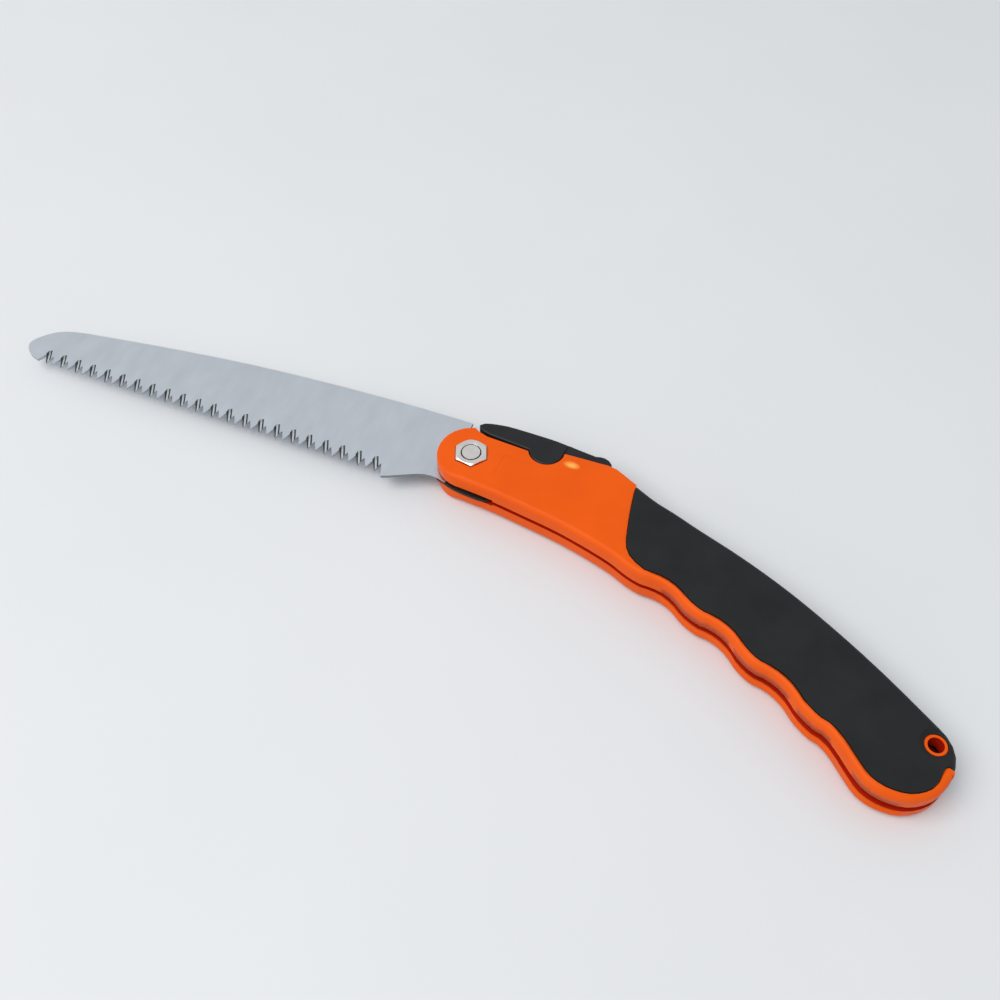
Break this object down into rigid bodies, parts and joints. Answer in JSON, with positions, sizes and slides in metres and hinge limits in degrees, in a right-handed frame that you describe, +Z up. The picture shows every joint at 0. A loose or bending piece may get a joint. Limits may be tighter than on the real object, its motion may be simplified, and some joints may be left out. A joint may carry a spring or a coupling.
{
  "type": "folding pruning saw",
  "caption": "Folding pruning saw with a straight-toothed pull-cut blade, rocker lock lever, curved two-shell handle, rubber finger grip and hang hole.",
  "frame": {"origin": "centre of the saw's box in X and Y, on the surface it lies on: the outer face of the lower rubber grip", "axes": "+X from the blade tip to the handle, +Y from the teeth to the spine, +Z up along the pivot bolt, towards the nut"},
  "size_m": [0.4318, 0.1064, 0.0176],
  "materials": {
    "shell_orange": "moulded orange polypropylene, fine satin texture",
    "grip_rubber": "matte black thermoplastic rubber",
    "lever_black": "satin black moulded nylon",
    "blade_steel": "satin ground high-carbon steel",
    "fastener_zinc": "bright zinc plate",
    "washer_nylon": "natural nylon"
  },
  "bodies": {
    "handle": {"upper_shell": "shell_orange", "lower_shell": "shell_orange", "upper_grip": "grip_rubber", "lower_grip": "grip_rubber", "back_spacer": "lever_black", "lever_pin": "fastener_zinc", "lever_spring": "fastener_zinc", "pivot_bolt": "fastener_zinc", "pivot_nut": "fastener_zinc", "pivot_bush": "fastener_zinc", "nut_washer": "fastener_zinc", "thrust_washer_upper": "washer_nylon", "thrust_washer_lower": "washer_nylon", "shell_screw_1": "fastener_zinc", "shell_screw_2": "fastener_zinc", "shell_screw_3": "fastener_zinc", "shell_screw_4": "fastener_zinc", "shell_screw_5": "fastener_zinc"},
    "blade": {"blade": "blade_steel"},
    "lever": {"lock_lever": "lever_black", "lock_pawl": "fastener_zinc"}
  },
  "joints": [
    {"name": "blade_fold", "type": "hinge", "parent": "handle", "child": "blade", "pos_m": [0.00554, 0.03175, 0.0086], "axis": [0, 0, 1], "range_deg": [0, 157]},
    {"name": "lever_rock", "type": "hinge", "parent": "handle", "child": "lever", "pos_m": [0.03474, 0.04525, 0.0086], "axis": [0, 0, -1], "range_deg": [-2.5, 5], "stiffness_Nm_per_rad": 0.4, "springref_deg": -2.5, "deforming": ["lever_spring"]}
  ]
}
